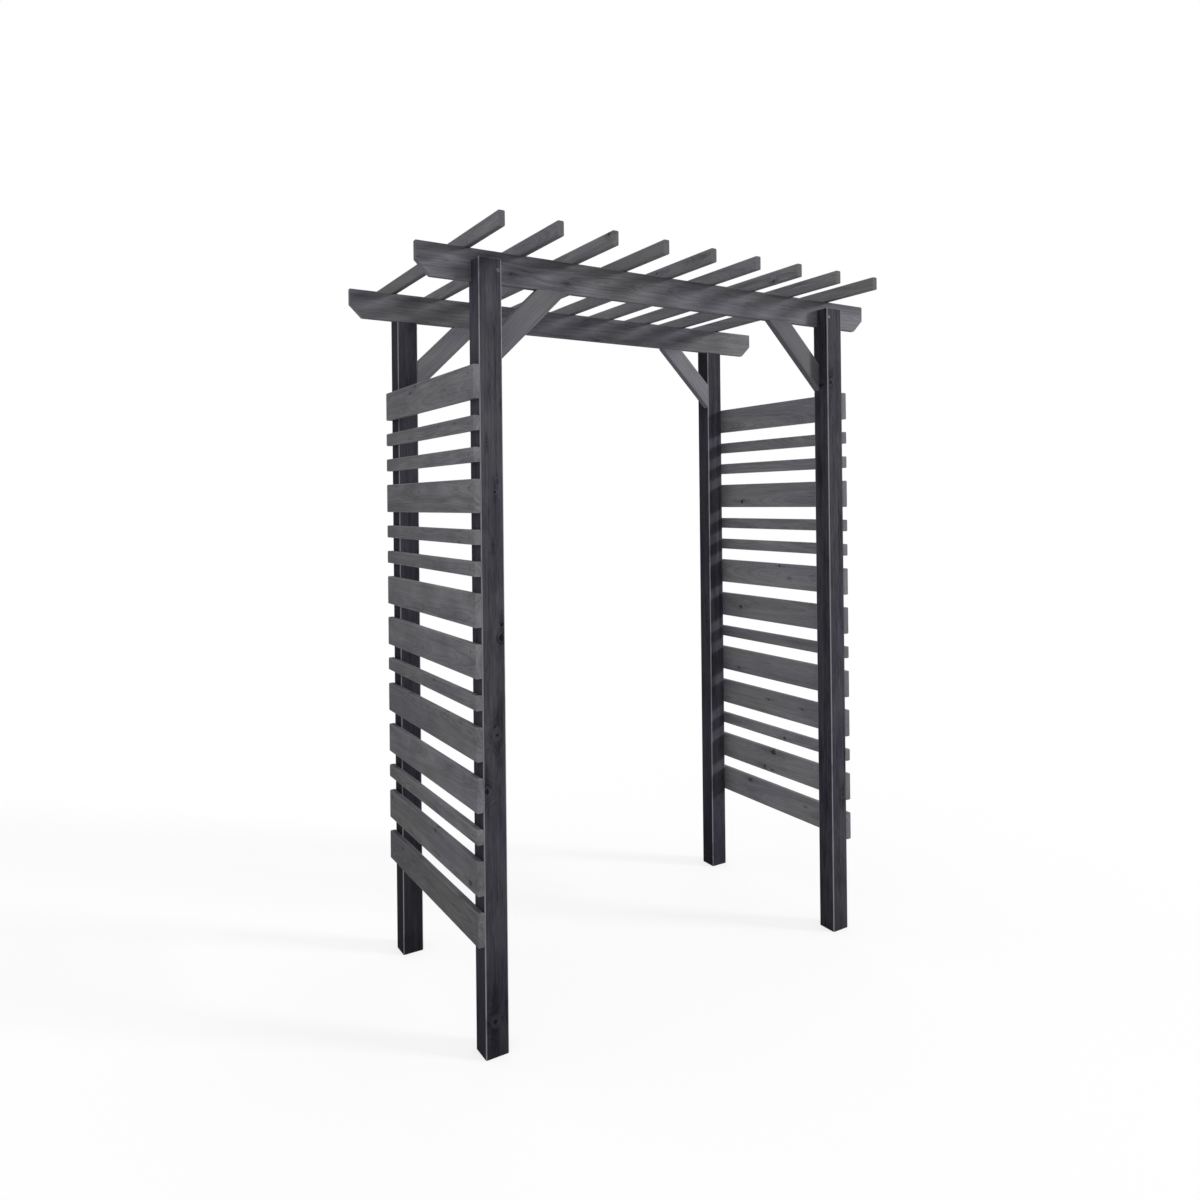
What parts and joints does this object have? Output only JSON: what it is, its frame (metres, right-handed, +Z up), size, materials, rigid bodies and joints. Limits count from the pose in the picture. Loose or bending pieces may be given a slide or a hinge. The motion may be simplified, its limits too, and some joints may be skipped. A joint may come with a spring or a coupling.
{
  "type": "garden arch",
  "caption": "Free-standing timber garden arch with slatted trellis sides, clipped beams, knee braces and open rafters for climbing plants.",
  "frame": {"origin": "on the ground, in the middle of the four posts", "axes": "+X along the beams, to the right as seen from the front; +Y from the front to the back; +Z up"},
  "size_m": [1.72, 1.12, 2.302],
  "materials": {
    "post_stain": "dark grey stain, matt, on planed square timber",
    "slat_stain": "grey stain, matt, on planed softwood boards with grain and knots",
    "beam_stain": "grey stain, matt, on planed softwood boards with grain and knots",
    "rafter_stain": "grey stain, matt, on planed softwood laths",
    "brace_stain": "grey stain, matt, a little lighter than the beams",
    "screw_zinc": "zinc plated, dulled"
  },
  "bodies": {
    "root": {"post_front_left": "post_stain", "post_front_right": "post_stain", "post_back_left": "post_stain", "post_back_right": "post_stain", "slat_left_01": "slat_stain", "slat_left_02": "slat_stain", "slat_left_03": "slat_stain", "slat_left_04": "slat_stain", "slat_left_05": "slat_stain", "slat_left_06": "slat_stain", "slat_left_07": "slat_stain", "slat_left_08": "slat_stain", "slat_left_09": "slat_stain", "slat_left_10": "slat_stain", "slat_left_11": "slat_stain", "slat_left_12": "slat_stain", "slat_left_13": "slat_stain", "slat_left_14": "slat_stain", "slat_right_01": "slat_stain", "slat_right_02": "slat_stain", "slat_right_03": "slat_stain", "slat_right_04": "slat_stain", "slat_right_05": "slat_stain", "slat_right_06": "slat_stain", "slat_right_07": "slat_stain", "slat_right_08": "slat_stain", "slat_right_09": "slat_stain", "slat_right_10": "slat_stain", "slat_right_11": "slat_stain", "slat_right_12": "slat_stain", "slat_right_13": "slat_stain", "slat_right_14": "slat_stain", "beam_front": "beam_stain", "beam_back": "beam_stain", "rafter_1": "rafter_stain", "rafter_2": "rafter_stain", "rafter_3": "rafter_stain", "rafter_4": "rafter_stain", "rafter_5": "rafter_stain", "rafter_6": "rafter_stain", "rafter_7": "rafter_stain", "rafter_8": "rafter_stain", "rafter_9": "rafter_stain", "brace_front_left": "brace_stain", "brace_front_right": "brace_stain", "brace_back_left": "brace_stain", "brace_back_right": "brace_stain", "slat_screws": "screw_zinc", "beam_screws": "screw_zinc", "rafter_screws": "screw_zinc", "brace_screws": "screw_zinc"}
  },
  "joints": []
}
